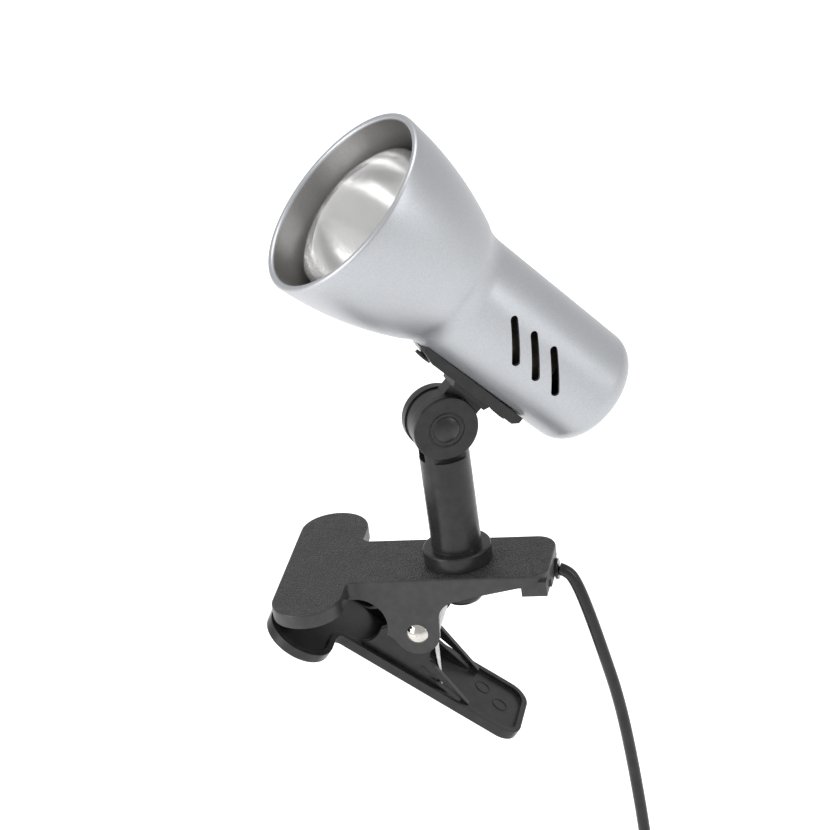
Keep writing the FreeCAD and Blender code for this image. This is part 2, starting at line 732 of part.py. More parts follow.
def shade():
    outer = [
        ("0", "mouth_radius - rim_radius", "right", "rim_radius"),
        ("rim_radius", "mouth_radius", "right", "bell_arc"),
        ("bell_length", "bell_end_radius", "left", "neck_arc"),
        ("neck_at", "neck_radius"),
        ("shade_length - tail_round", "tail_radius", "right", "tail_round"),
        ("shade_length", "tail_radius - tail_round"),
        ("shade_length", "0"),
        ("shade_length - shade_wall", "0"),
        ("shade_length - shade_wall", "tail_radius - tail_round", "left", "tail_round - shade_wall"),
        ("shade_length - tail_round", "tail_radius - shade_wall"),
        ("neck_at", "neck_radius - shade_wall", "right", "neck_arc + shade_wall"),
        ("bell_length - 0.4", "bell_end_radius - shade_wall", "left", "bell_arc - shade_wall"),
        ("rim_radius", "mouth_radius - 2 * rim_radius", "right", "rim_radius"),
    ]
    shell = revolved("shade_shell", outer)
    vents = []
    for side, low in (("near", "-neck_radius - 5"), ("far", "5")):
        for i in range(3):
            half = "(vent_length / 2 - vent_width / 2)"
            centre = f"(vent_first + {i} * vent_pitch)"
            slope = "vent_slant"
            ends = []
            for sign in ("-", "+"):
                ends.append(
                    cylinder(
                        f"vent_end_{side}_{i}_{'low' if sign == '-' else 'high'}",
                        (
                            f"{centre} {sign} {half} * cos({slope})",
                            low,
                            f"0 {'+' if sign == '-' else '-'} {half} * sin({slope})",
                        ),
                        "vent_width / 2",
                        "neck_radius",
                        "Y",
                    )
                )
            bar = doc.addObject("Part::Box", f"vent_bar_{side}_{i}")
            for name, text in (
                ("Length", "vent_length - vent_width"),
                ("Width", "neck_radius"),
                ("Height", "vent_width"),
            ):
                bar.setExpression(name, linked(text))
            place(
                bar,
                f"{centre} - {half} * cos({slope}) - vent_width / 2 * sin({slope})",
                low,
                f"{half} * sin({slope}) - vent_width / 2 * cos({slope})",
                ("0", "vent_slant", "0"),
            )
            vents += [*ends, bar]
    screws = [
        cylinder(f"shade_screw_hole_{i}", (x, "0", "-neck_radius - 3"), "bracket_screw", "neck_radius - 10")
        for i, x in enumerate(
            ("head_front - bracket_front + front_screw", "head_front - bracket_front + rear_screw")
        )
    ]
    lead = cylinder("shade_lead_hole", ("head_front", "0", "-neck_radius - 3"), "2.4", "neck_radius - 10")
    keep("shade", cut("shade_body", shell, *vents, *screws, lead), SHADE)


def bulb():
    rim = "(bulb_radius - 1.4)"
    edge = "bulb_front + bulb_dome"
    glass = revolved(
        "glass",
        [
            ("bulb_front", "0", "right", f"({rim} * {rim} + bulb_dome * bulb_dome) / (2 * bulb_dome)"),
            (edge, rim, "right", "bulb_shoulder + 1"),
            (f"{edge} + bulb_shoulder", "bulb_radius", "right", "60"),
            ("bulb_neck_at - 18", "bulb_neck + 7", "left", "34"),
            ("bulb_neck_at", "bulb_neck"),
            ("cap_front", "cap_radius - 0.9"),
            ("cap_front + 2", "cap_radius - 0.9"),
            ("cap_front + 2", "0"),
        ],
    )
    keep("bulb_glass", glass, SHADE)
    cap = revolved(
        "cap",
        [
            ("cap_front + 2", "0"),
            ("cap_front + 2", "cap_radius - 0.9"),
            ("cap_front", "cap_radius - 0.9"),
            ("cap_front", "cap_radius"),
            ("cap_front + cap_length - 5", "cap_radius"),
            ("cap_front + cap_length", "5"),
            ("cap_front + cap_length", "0"),
        ],
    )
    keep("bulb_cap", cap, SHADE)
    eyelet = revolved(
        "eyelet",
        [
            ("cap_front + cap_length", "0"),
            ("cap_front + cap_length", "4.6"),
            ("cap_front + cap_length + 1.6", "3"),
            ("cap_front + cap_length + 1.6", "0"),
        ],
    )
    keep("bulb_eyelet", eyelet, SHADE)


def lampholder():
    rear = "(holder_front + holder_length)"
    holder = revolved(
        "holder",
        [
            ("holder_front", "holder_bore"),
            ("holder_front", "holder_radius - 1"),
            ("holder_front + 1", "holder_radius"),
            (f"{rear} - 12", "holder_radius"),
            (f"{rear} - 9", "holder_radius - 4"),
            (rear, "holder_radius - 6"),
            (rear, "0"),
            (f"{rear} - 12", "0"),
            (f"{rear} - 12", "holder_bore"),
        ],
    )
    keep("lampholder_body", holder, SHADE)
    shell = revolved(
        "holder_shell",
        [
            ("holder_front + 3", "holder_bore - 0.1 - shell_wall"),
            ("holder_front + 3", "holder_bore - 0.1"),
            (f"{rear} - 13", "holder_bore - 0.1"),
            (f"{rear} - 13", "holder_bore - 0.1 - shell_wall"),
        ],
    )
    keep("lampholder_shell", shell, SHADE)
    tongue = revolved(
        "holder_tongue",
        [
            ("cap_front + cap_length + 1.6", "0"),
            ("cap_front + cap_length + 1.6", "2.2"),
            (f"{rear} - 12", "4"),
            (f"{rear} - 12", "0"),
        ],
    )
    keep("lampholder_contact", tongue, SHADE)
    nut = cylinder("holder_nut", ("0", "0", "0"), "8", f"shade_length - shade_wall - {rear}", "X")
    keep("lampholder_nut", nut, SHADE + " * " + frame(rear, "0", "0", "0", "90"))


def head_bracket():
    rear = "bracket_front - bracket_length"
    seat = "head_axis - neck_radius"
    bottom = f"({seat} - bracket_depth)"
    screw_spots = ("bracket_front - front_screw", "bracket_front - rear_screw")
    plate = side_prism(
        "bracket_plate",
        [
            (f"{rear}", f"{bottom} + 2"),
            (f"{rear} + 2.5", bottom),
            ("bracket_front - 6", bottom),
            ("bracket_front", f"{bottom} + 2"),
            ("bracket_front", f"{seat} + 2.6"),
            (f"{rear}", f"{seat} + 2.6"),
        ],
        "-bracket_width / 2",
        "bracket_width / 2",
    )
    block = side_prism(
        "bracket_block",
        [
            ("-neck_block_length / 2", "knuckle_radius + 1.2"),
            ("neck_block_length / 2", "knuckle_radius + 1.2"),
            ("neck_block_length / 2 + 1.5", bottom + " + 0.5"),
            ("-neck_block_length / 2 - 1.5", bottom + " + 0.5"),
        ],
        "-neck_block_width / 2",
        "neck_block_width / 2",
    )
    eye = cylinder("tongue_eye", ("0", f"-{TONGUE} / 2", "0"), "knuckle_radius - 0.6", TONGUE, "Y")
    tongue = box(
        "tongue_web",
        ("-neck_block_length / 2", f"-{TONGUE} / 2", "0"),
        ("neck_block_length", TONGUE, "knuckle_radius + 3"),
    )
    whole = fuse("bracket_whole", plate, block, eye, tongue)
    seat_cut = cylinder("bracket_seat", ("-60", "0", "head_axis"), "neck_radius + 0.02", "120", "X")
    bolt = cylinder("tongue_bolt", ("0", "-20", "0"), "hinge_bolt + running_gap", "40", "Y")
    screws = [
        cylinder(f"bracket_screw_hole_{i}", (x, "0", "0"), "bracket_screw", "head_axis")
        for i, x in enumerate(screw_spots)
    ]
    keep("head_bracket", cut("bracket_body", whole, seat_cut, bolt, *screws), HEAD)
    bolts = []
    nuts = []
    for i, x in enumerate(screw_spots):
        shank = cylinder(f"screw_shank_{i}", (x, "0", bottom), "bracket_screw", "bracket_depth + 6")
        head = cylinder(
            f"screw_head_{i}", (x, "0", f"{bottom} - screw_head_height"), "screw_head", "screw_head_height"
        )
        bolts.append(fuse(f"screw_{i}", shank, head))
        nut = doc.addObject("Part::Prism", f"screw_nut_hex_{i}")
        nut.Polygon = 6
        nut.setExpression("Circumradius", linked("bracket_screw * 2"))
        nut.Height = 1.6
        place(nut, x, "0", f"{seat} + shade_wall + 1.5")
        hole = cylinder(f"screw_nut_hole_{i}", (x, "0", seat), "bracket_screw", "10")
        nuts.append(cut(f"screw_nut_{i}", nut, hole))
    keep("bracket_screws", fuse("screws", *bolts), HEAD)
    keep("bracket_nuts", fuse("nuts", *nuts), HEAD)


def cord_bush():
    rear = "(jaw_front + jaw_length)"
    flange = cylinder("bush_flange_disc", (rear, "exit_side", "-exit_drop"), "bush_radius", "1.2", "X")
    sleeve = cylinder(
        "bush_sleeve",
        (f"{rear} - jaw_wall - 2", "exit_side", "-exit_drop"),
        "bush_radius - bush_flange",
        "jaw_wall + 2",
        "X",
    )
    keep("cord_bush", fuse("bush", flange, sleeve), CLAMP)
    low = f"{rear} - block_length - 9"
    bridge = box(
        "clamp_bridge", (low, "exit_side - 9", "jaw_top - jaw_plate - 3.4"), ("6", "18", "3.4")
    )
    holes = [
        cylinder(f"clamp_hole_{i}", (f"{low} + 3", f"exit_side {side} 6.5", "-5"), "1.2", "20")
        for i, side in enumerate("-+")
    ]
    keep("cord_clamp", cut("clamp_body", bridge, *holes), CLAMP)
    screws = []
    for i, side in enumerate("-+"):
        spot = (f"{low} + 3", f"exit_side {side} 6.5")
        shank = cylinder(f"clamp_shank_{i}", (*spot, "jaw_top - jaw_plate - 3.4"), "1.2", "3.4")
        head = cylinder(f"clamp_head_{i}", (*spot, "jaw_top - jaw_plate - 4.8"), "2.1", "1.4")
        screws.append(fuse(f"clamp_screw_{i}", shank, head))
    keep("cord_clamp_screws", fuse("clamp_screws", *screws), CLAMP)


def cord(label, route, radius):
    """A round tube along straight runs joined by tangent arcs."""
    spots = [FreeCAD.Vector(*point) for point in route]
    edges = []
    radii = []
    start = spots[0]
    for before, corner, after in zip(spots, spots[1:], spots[2:]):
        back, ahead = before - corner, after - corner
        shorter = min(back.Length, ahead.Length)
        turn = math.pi - back.getAngle(ahead)
        leave = 0.45 * shorter
        bend = leave / math.tan(turn / 2)
        radii.append(round(bend, 1))
        back.normalize()
        ahead.normalize()
        first, last = corner + back * leave, corner + ahead * leave
        toward = (back + ahead).normalize()
        middle = corner + toward * (bend / math.cos(turn / 2) - bend)
        edges.append(Part.LineSegment(start, first).toShape())
        edges.append(Part.Arc(first, middle, last).toShape())
        start = last
    edges.append(Part.LineSegment(start, spots[-1]).toShape())
    path = Part.Wire(edges)
    direction = spots[1] - spots[0]
    section = Part.Wire(Part.makeCircle(radius, spots[0], direction))
    solid = path.makePipeShell([section], True, True)
    expected = math.pi * radius**2 * path.Length
    print(label, "radii", radii, "length", round(path.Length, 1), "volume", round(solid.Volume / expected, 4))
    made = doc.addObject("Part::Feature", label + "_tube")
    made.Shape = solid
    made.Label = label
    finished.append(made)


def cords():
    for label, route in (("cord_drop", DROP_ROUTE), ("cord_hang", HANG_ROUTE), ("cord_tail", TAIL_ROUTE)):
        cord(label, route, number("cord_radius"))
    ring = doc.addObject("Part::Torus", "coil_ring")
    ring.setExpression("Radius1", linked("coil_mid"))
    ring.setExpression("Radius2", linked("coil_bundle"))
    keep("cord_coil", ring, frame("coil_x", "exit_side", "coil_z", "0", "0", "90"))


def coil_tie():
    outer = cylinder("tie_outer", ("0", "0", "0"), "coil_bundle + 1.3", "6")
    inner = cylinder("tie_inner", ("0", "0", "-1"), "coil_bundle + 0.3", "8")
    keep(
        "coil_tie",
        cut("tie_body", outer, inner),
        frame("coil_x - coil_mid", "exit_side", "coil_z - 3"),
    )


def inline_switch():
    """Two covers with a rocker between them, on the hanging cord."""
    low = "switch_z - switch_length / 2"
    half_w = "(switch_width / 2)"
    half_l = "(switch_length / 2)"
    corner = "switch_round"
    rounded = [
        (f"-{half_w} + {corner}", f"-{half_l}"),
        (f"{half_w} - {corner}", f"-{half_l}", "left", corner),
        (half_w, f"-{half_l} + {corner}"),
        (half_w, f"{half_l} - {corner}", "left", corner),
        (f"{half_w} - {corner}", half_l),
        (f"-{half_w} + {corner}", half_l, "left", corner),
        (f"-{half_w}", f"{half_l} - {corner}"),
        (f"-{half_w}", f"-{half_l} + {corner}", "left", corner),
    ]
    where = frame("switch_x", "exit_side", "switch_z", "0", "0", "90")
    # in this frame X is the clamp's X, Y is its Z, and +Z points to the lamp's near side
    front = soften(prism("switch_front", rounded, "switch_depth / 2"), "2 * soft_edge", (0, 0, 1))
    window = box("switch_window", ("-4.5", "-9", "1.5"), ("9", "18", "20"))
    channel = cylinder("switch_channel_front", ("0", f"-{half_l} - 1", "0"), "cord_radius", "7", "Y")
    channel_top = cylinder("switch_channel_top", ("0", f"{half_l} - 6", "0"), "cord_radius", "7", "Y")
    bearing = cylinder(
        "switch_bearing",
        ("-rocker_width / 2 - axle_reach - side_gap", "0", "switch_pivot"),
        "axle_radius + running_gap",
        "rocker_width + 2 * (axle_reach + side_gap)",
        "X",
    )
    keep("switch_front_cover", cut("switch_front_body", front, window, channel, channel_top, bearing), where)
    rear = prism("switch_rear", rounded, "switch_depth / 2", ("0", "0", "-switch_depth / 2"))
    soften(rear, "2 * soft_edge", (0, 0, -1))
    lower = cylinder("switch_channel_rear", ("0", f"-{half_l} - 1", "0"), "cord_radius", "7", "Y")
    upper = cylinder("switch_channel_rear_top", ("0", f"{half_l} - 6", "0"), "cord_radius", "7", "Y")
    screw_hole = cylinder("switch_screw_hole", ("0", f"-{half_l} + 12", "-20"), "1.5", "25")
    keep("switch_rear_cover", cut("switch_rear_body", rear, lower, upper, screw_hole), where)
    screw = cylinder("switch_screw_pin", ("0", "0", "0"), "1.5", "5")
    keep(
        "switch_screw",
        screw,
        where + " * " + frame("0", f"-{half_l} + 12", "-switch_depth / 2"),
    )
    # the rocker's own outline has X along the cord, Y out of the cover, and its pivot at the origin
    half_r = "(switch_rocker / 2)"
    paddle = prism(
        "rocker",
        [
            ("-4", "-0.8"),
            ("4", "-0.8"),
            (half_r, "2.5"),
            (half_r, "7.5"),
            ("0", "5.6"),
            (f"-{half_r}", "7.5"),
            (f"-{half_r}", "2.5"),
        ],
        "rocker_width",
    )
    axle = cylinder("rocker_axle", ("0", "0", "-axle_reach"), "axle_radius", "rocker_width + 2 * axle_reach")
    rocker = fuse("rocker_body", paddle, axle)
    seat = frame("-rocker_width / 2", "0", "switch_pivot", "90", "0", "90")
    keep("switch_rocker", rocker, where + " * " + seat)


def plug():
    """A flat two-pin plug that hangs below the coil."""
    x, y, z = TAIL_ROUTE[-1]
    body = revolved(
        "plug_grip",
        [
            ("0", "0"),
            ("0", "cord_radius + 1.2"),
            ("12", "cord_radius + 2.4", "right", "30"),
            ("20", "plug_radius"),
            ("plug_length - 2", "plug_radius"),
            ("plug_length", "plug_radius - 2"),
            ("plug_length", "0"),
        ],
    )
    thick = "plug_thickness"
    slab = box(
        "plug_slab",
        ("-1", "-plug_radius - 6", f"-{thick} / 2"),
        ("plug_length + 2", "2 * plug_radius + 12", thick),
    )
    wide = box(
        "plug_wide",
        ("plug_grip_at", "-pin_spacing / 2 - 4", f"-{thick} / 2"),
        ("plug_length - plug_grip_at", "pin_spacing + 8", thick),
    )
    flat = doc.addObject("Part::Common", "plug_flat")
    flat.Base = body
    flat.Tool = slab
    where = frame(x, y, z, "0", "90")
    keep("plug_body", fuse("plug_whole", flat, wide), where)
    pins = [
        cylinder(
            f"plug_pin_{i}", ("plug_length", f"{side} pin_spacing / 2", "0"), "pin_radius", "pin_length", "X"
        )
        for i, side in enumerate(("-", "0 +"))
    ]
    keep("plug_pins", fuse("pins", *pins), where)


def write():
    doc.recompute()
    for thing in doc.Objects:
        if {"Invalid", "Error"} & set(thing.State):
            raise RuntimeError(f"{thing.Label} failed: {thing.State}")
    os.makedirs("parts", exist_ok=True)
    for made in finished:
        if made.Shape.isNull() or not made.Shape.isValid() or not made.Shape.Solids:
            raise RuntimeError(f"{made.Label} isn't a valid solid")
    for made in finished:
        made.Shape.exportStep(os.path.join("parts", made.Label + ".step"))


for build in (
    upper_jaw, lower_jaw, grip_pads, pivot_rivet, jaw_spring, stem_halves, stem_fittings, shade, bulb,
    lampholder, head_bracket, cord_bush, cords, coil_tie, inline_switch, plug,
):
    build()
write()
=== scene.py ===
"""The looks of a clip-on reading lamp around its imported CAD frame. Metres, in the CAD's own frame."""

import json
import math

import bmesh
import bpy
from mathutils import Matrix, Vector


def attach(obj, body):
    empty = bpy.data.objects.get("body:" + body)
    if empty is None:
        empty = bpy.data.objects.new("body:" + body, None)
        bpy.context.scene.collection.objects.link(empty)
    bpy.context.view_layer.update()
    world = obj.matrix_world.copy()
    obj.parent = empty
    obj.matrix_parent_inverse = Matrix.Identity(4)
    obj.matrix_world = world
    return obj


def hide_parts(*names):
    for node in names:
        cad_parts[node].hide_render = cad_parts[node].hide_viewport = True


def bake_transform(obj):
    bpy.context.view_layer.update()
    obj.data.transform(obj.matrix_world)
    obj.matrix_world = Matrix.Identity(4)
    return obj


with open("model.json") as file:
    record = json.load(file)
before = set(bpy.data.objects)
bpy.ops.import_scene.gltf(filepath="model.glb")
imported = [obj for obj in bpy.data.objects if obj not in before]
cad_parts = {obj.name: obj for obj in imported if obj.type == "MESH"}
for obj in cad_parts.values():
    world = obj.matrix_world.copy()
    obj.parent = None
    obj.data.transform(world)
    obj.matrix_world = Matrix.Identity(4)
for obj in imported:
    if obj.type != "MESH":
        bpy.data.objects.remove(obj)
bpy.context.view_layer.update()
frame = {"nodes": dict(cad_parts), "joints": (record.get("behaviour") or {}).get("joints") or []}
MM = 0.001
nodes = frame["nodes"]
scene = bpy.context.scene


def joint(name):
    return next(j for j in frame["joints"] if j["name"] == name)


# ---------------------------------------------------------------- camera
AIM = Vector((60, 0, 40)) * MM
AZIMUTH, ELEVATION, ROLL = (math.radians(a) for a in (13.2, 25.4, 8.0))
DISTANCE = 1.3
VIEW_WIDTH = 0.3276  # what the frame spans at the aim's distance
FRAMING = (-5.3 * MM, 27.0 * MM)  # from the aim to the middle of the frame, across and up


def add_camera():
    right = Vector((math.cos(AZIMUTH), math.sin(AZIMUTH), 0))
    back = Vector(
        (
            math.sin(AZIMUTH) * math.cos(ELEVATION),
            -math.cos(AZIMUTH) * math.cos(ELEVATION),
            math.sin(ELEVATION),
        )
    )
    up = back.cross(right)
    across = math.cos(ROLL) * right - math.sin(ROLL) * up
    above = math.sin(ROLL) * right + math.cos(ROLL) * up
    data = bpy.data.cameras.new("camera")
    data.sensor_width = 36
    data.lens = data.sensor_width * DISTANCE / VIEW_WIDTH
    data.clip_start = 0.05
    data.clip_end = 50
    camera = bpy.data.objects.new("camera", data)
    scene.collection.objects.link(camera)
    place = AIM + FRAMING[0] * across + FRAMING[1] * above + DISTANCE * back
    camera.matrix_world = Matrix.Translation(place) @ Matrix((across, above, back)).transposed().to_4x4()
    scene.camera = camera


# ---------------------------------------------------------------- materials
def material(name, colour, metallic=0.0, roughness=0.5, **sockets):
    """A Principled material with its constants on the shader's own sockets."""
    made = bpy.data.materials.new(name)
    made.use_nodes = True
    shader = made.node_tree.nodes["Principled BSDF"]
    shader.inputs["Base Color"].default_value = (*colour, 1)
    shader.inputs["Metallic"].default_value = metallic
    shader.inputs["Roughness"].default_value = roughness
    for socket, amount in sockets.items():
        shader.inputs[socket.replace("_", " ")].default_value = amount
    return made


def node(made, kind, **settings):
    """A node of that kind. Settings that name a socket set it, and the others are the node's own."""
    new = made.node_tree.nodes.new("ShaderNode" + kind)
    for name, value in settings.items():
        socket = name.replace("_", " ")
        if socket in new.inputs:
            new.inputs[socket].default_value = value
        else:
            setattr(new, name, value)
    return new


def join(made, start, end):
    made.node_tree.links.new(start, end)


def noise(made, scale, detail=3.0, roughness=0.55):
    """Noise over the object's own coordinates, with scale in cells per millimetre."""
    place = node(made, "TexCoord")
    grain = node(made, "TexNoise", Scale=scale / MM, Detail=detail, Roughness=roughness)
    join(made, place.outputs["Object"], grain.inputs["Vector"])
    return grain.outputs["Fac"]


def spread(made, source, low, high, start=0.3, end=0.7):
    """A value from low to high as the source goes from start to end."""
    ramp = node(made, "MapRange", From_Min=start, From_Max=end, To_Min=low, To_Max=high)
    join(made, source, ramp.inputs["Value"])
    return ramp.outputs["Result"]


def tint(made, source, dark, light, start=0.3, end=0.7):
    """The base colour, from dark to light as the source goes from start to end."""
    mix = node(made, "Mix", data_type="RGBA")
    for socket in mix.inputs:
        if socket.type == "RGBA" and socket.name in ("A", "B"):
            socket.default_value = (*(dark if socket.name == "A" else light), 1)
    join(made, spread(made, source, 0, 1, start, end), mix.inputs["Factor"])
    output = next(socket for socket in mix.outputs if socket.type == "RGBA")
    join(made, output, shader_of(made).inputs["Base Color"])


def shader_of(made):
    return made.node_tree.nodes["Principled BSDF"]


def rough(made, source, low, high):
    join(made, spread(made, source, low, high), shader_of(made).inputs["Roughness"])


def bump(made, source, depth, under=None):
    """Relief whose full height is depth in millimetres, over any relief under it."""
    relief = node(made, "Bump", Distance=depth * MM)
    join(made, source, relief.inputs["Height"])
    if under:
        join(made, under, relief.inputs["Normal"])
    join(made, relief.outputs["Normal"], shader_of(made).inputs["Normal"])
    return relief.outputs["Normal"]


def eased_edges(made, radius):
    """Normals that run softly over sharp edges, with the radius in millimetres."""
    edge = node(made, "Bevel", samples=4, Radius=radius * MM)
    return edge.outputs["Normal"]


def silver_paint(name, dark, light, roughness):
    made = material(name, light, metallic=0.85, roughness=roughness)
    tint(made, noise(made, 2.2, 6.0, 0.7), dark, light)
    rough(made, noise(made, 0.05), roughness - 0.03, roughness + 0.03)
    bump(made, noise(made, 2.4), 0.035)
    return made


def satin_plastic(name, dark, light, roughness, grain=1.6, relief=0.012, **sockets):
    made = material(name, light, roughness=roughness, Specular_IOR_Level=0.28, **sockets)
    tint(made, noise(made, 0.25), dark, light)
    rough(made, noise(made, 0.12), roughness - 0.05, roughness + 0.06)
    bump(made, noise(made, grain), relief, eased_edges(made, 0.45))
    return made


def leather_plastic():
    """Black plastic with a leather grain on the faces that look straight up."""
    made = satin_plastic("leather_plastic", (0.014, 0.014, 0.014), (0.024, 0.024, 0.024), 0.40)
    shader_of(made).inputs["Specular IOR Level"].default_value = 0.42
    place = node(made, "TexCoord")
    cells = node(made, "TexVoronoi", feature="DISTANCE_TO_EDGE", Scale=0.9 / MM, Randomness=1.0)
    warp = node(made, "TexNoise", Scale=1.2 / MM, Detail=2.0)
    join(made, place.outputs["Object"], warp.inputs["Vector"])
    shift = node(made, "VectorMath", operation="MULTIPLY_ADD")
    join(made, warp.outputs["Color"], shift.inputs[0])
    shift.inputs[1].default_value = (0.4 * MM,) * 3
    join(made, place.outputs["Object"], shift.inputs[2])
    join(made, shift.outputs["Vector"], cells.inputs["Vector"])
    lay = node(made, "NewGeometry")
    split = node(made, "SeparateXYZ")
    join(made, lay.outputs["True Normal"], split.inputs["Vector"])
    facing_up = spread(made, split.outputs["Z"], 0, 1, 0.95, 0.99)
    height = node(made, "Math", operation="MULTIPLY")
    join(made, spread(made, cells.outputs["Distance"], 0, 1, 0.0, 0.3), height.inputs[0])
    join(made, facing_up, height.inputs[1])
    bump(made, height.outputs["Value"], 0.6, bump(made, noise(made, 1.8), 0.03, eased_edges(made, 0.5)))
    return made


def brushed_metal(name, colour, roughness, grain=2.0):
    made = material(name, colour, metallic=1.0, roughness=roughness)
    darker = tuple(0.82 * c for c in colour)
    tint(made, noise(made, 0.3), darker, colour)
    rough(made, noise(made, grain), max(roughness - 0.04, 0.02), roughness + 0.05)
    return made


def clear_glass():
    """Bulb glass with a fine pearl etch inside, under a glossy outer face."""
    made = material(
        "clear_glass",
        (0.97, 0.98, 0.98),
        metallic=0.28,
        roughness=0.1,
        Transmission_Weight=1.0,
        IOR=1.12,
        Coat_Weight=1.0,
        Coat_Roughness=0.03,
    )
    tint(made, noise(made, 0.05), (0.90, 0.905, 0.90), (0.95, 0.955, 0.95))
    rough(made, noise(made, 0.04), 0.08, 0.14)
    return made


def silvered_glass():
    made = material("silvered_glass", (0.86, 0.86, 0.86), metallic=1.0, roughness=0.14)
    tint(made, noise(made, 0.03, 1.0), (0.78, 0.775, 0.765), (0.88, 0.88, 0.875))
    return made


MATERIALS = {
    "silver": silver_paint("silver_paint", (0.32, 0.33, 0.345), (0.43, 0.44, 0.46), 0.40),
    # The same silver paint made darker: painted shade for the inside of the cup.
    "silver_inside_painted_shade": silver_paint("silver_inside_painted_shade", (0.24, 0.235, 0.228), (0.33, 0.325, 0.318), 0.36),
    "leather": leather_plastic(),
    "black": satin_plastic("satin_black", (0.009, 0.009, 0.010), (0.016, 0.016, 0.017), 0.33),
    "stem": satin_plastic("stem_black", (0.010, 0.010, 0.011), (0.018, 0.018, 0.019), 0.30),
    "rubber": satin_plastic("pad_rubber", (0.012, 0.012, 0.012), (0.022, 0.022, 0.022), 0.62),
    "cord": satin_plastic("cord_sheath", (0.008, 0.008, 0.009), (0.015, 0.015, 0.016), 0.22, 0.6, 0.02),
    "switch": satin_plastic("switch_black", (0.010, 0.010, 0.011), (0.018, 0.018, 0.019), 0.34),
    "nylon": satin_plastic("washer_nylon", (0.060, 0.060, 0.060), (0.095, 0.095, 0.095), 0.45),
    "bakelite": satin_plastic("bakelite", (0.014, 0.011, 0.009), (0.028, 0.022, 0.018), 0.28),
    "chrome": brushed_metal("chrome", (0.52, 0.50, 0.47), 0.08),
    "steel": brushed_metal("spring_steel", (0.46, 0.46, 0.47), 0.26),
    "zinc": brushed_metal("zinc_steel", (0.58, 0.60, 0.62), 0.28),
    "nickel": brushed_metal("nickel", (0.66, 0.63, 0.58), 0.20),
    "brass": brushed_metal("brass", (0.72, 0.54, 0.26), 0.25),
    "solder": brushed_metal("solder", (0.55, 0.55, 0.56), 0.35),
    "mirror": silvered_glass(),
    "tungsten": brushed_metal("tungsten", (0.32, 0.31, 0.30), 0.35),
    "glass": clear_glass(),
}

NODE_MATERIALS = {
    "shade": "silver",
    "upper_jaw": "leather",
    "lower_jaw": "black",
    "upper_grip_pad": "rubber",
    "lower_grip_pad": "rubber",
    "pivot_rivet": "chrome",
    "jaw_spring_upper": "steel",
    "jaw_spring_lower": "steel",
    "stem_front_half": "stem",
    "stem_rear_half": "stem",
    "stem_retainer": "stem",
    "stem_lead": "cord",
    "hinge_bolt": "stem",
    "hinge_nut": "zinc",
    "hinge_washers": "nylon",
    # The hidden bulb_glass node takes the darker silver of painted shade.
    "bulb_glass": "silver_inside_painted_shade",
    "bulb_cap": "nickel",
    "bulb_eyelet": "solder",
    "lampholder_body": "bakelite",
    "lampholder_shell": "brass",
    "lampholder_contact": "brass",
    "lampholder_nut": "zinc",
    "head_bracket": "stem",
    "bracket_screws": "stem",
    "bracket_nuts": "zinc",
    "cord_bush": "cord",
    "cord_clamp": "switch",
    "cord_clamp_screws": "zinc",
    "coil_tie": "switch",
    "switch_front_cover": "switch",
    "switch_rear_cover": "switch",
    "switch_screw": "zinc",
    "switch_rocker": "switch",
    "plug_body": "switch",
    "plug_pins": "nickel",
}


def paint_nodes():
    for name, kind in NODE_MATERIALS.items():
        for place in nodes[name].material_slots:
            place.link = "OBJECT"
            place.material = MATERIALS[kind]


# ---------------------------------------------------------------- stage
FLOOR_Z = -0.362
FLOOR_REACH = 6.0


def add_light(name, place, aim, size, power, colour=(1, 1, 1)):
    data = bpy.data.lights.new(name, "AREA")
    data.shape = "RECTANGLE"
    data.size, data.size_y = size
    data.energy = power
    data.color = colour
    light = bpy.data.objects.new(name, data)
    light.location = place
    light.rotation_euler = (Vector(aim) - Vector(place)).to_track_quat("-Z", "Y").to_euler()
    scene.collection.objects.link(light)


def add_stage():
    mesh = bpy.data.meshes.new("floor")
    corners = ((-1, -1), (1, -1), (1, 1), (-1, 1))
    mesh.from_pydata([(x * FLOOR_REACH, y * FLOOR_REACH, FLOOR_Z) for x, y in corners], [], [(0, 1, 2, 3)])
    floor = bpy.data.objects.new("floor", mesh)
    scene.collection.objects.link(floor)
    pale = material("floor_white", (0.92, 0.92, 0.92), roughness=0.9)
    shader_of(pale).inputs["Emission Color"].default_value = (1, 1, 1, 1)
    shader_of(pale).inputs["Emission Strength"].default_value = 0.4
    tint(pale, noise(pale, 0.002), (0.91, 0.91, 0.91), (0.93, 0.93, 0.93))
    floor.data.materials.append(pale)
    world = bpy.data.worlds.new("studio")
    scene.world = world
    world.use_nodes = True
    world.node_tree.nodes["Background"].inputs["Color"].default_value = (1, 1, 1, 1)
    world.node_tree.nodes["Background"].inputs["Strength"].default_value = 0.85
    add_light("key", (-0.75, -0.75, 0.35), (0.03, 0, 0.08), (0.7, 0.9), 9)
    add_light("top", (0.1, 0.3, 1.3), (0.05, 0, 0.05), (0.8, 0.8), 8)
    add_light("side", (1.1, -0.3, 0.5), (0.05, 0, 0.05), (0.4, 0.9), 4)
    scene.view_settings.view_transform = "Standard"


# ---------------------------------------------------------------- cord
EXIT_Y = 4.0
COIL = {"x": 103.5, "z": -247.0, "middle": 29.0, "strands": 9, "steps": 24, "enter": 10.0}
CORD_WIDTH = 5.0
DROP_ROUTE = [
    (107.3, 4.0, -2.2),
    (110.9, 4.0, -3.6),
    (113.6, 4.0, -9.0),
    (116.6, 4.0, -20.0),
    (120.4, 4.0, -38.0),
    (125.4, 4.2, -64.0),
    (128.2, 4.4, -98.0),
    (129.9, 4.0, -136.0),
]
HANG_ROUTE = [
    (129.9, 4.0, -194.0),
    (130.3, 4.0, -202.0),
    (133.7, 4.0, -216.5),
    (138.4, 4.0, -230.5),
]
TAIL_ROUTE = [
    (138.2, -0.6, -264.0),
    (138.5, -0.6, -274.0),
    (138.3, -0.6, -283.0),
]


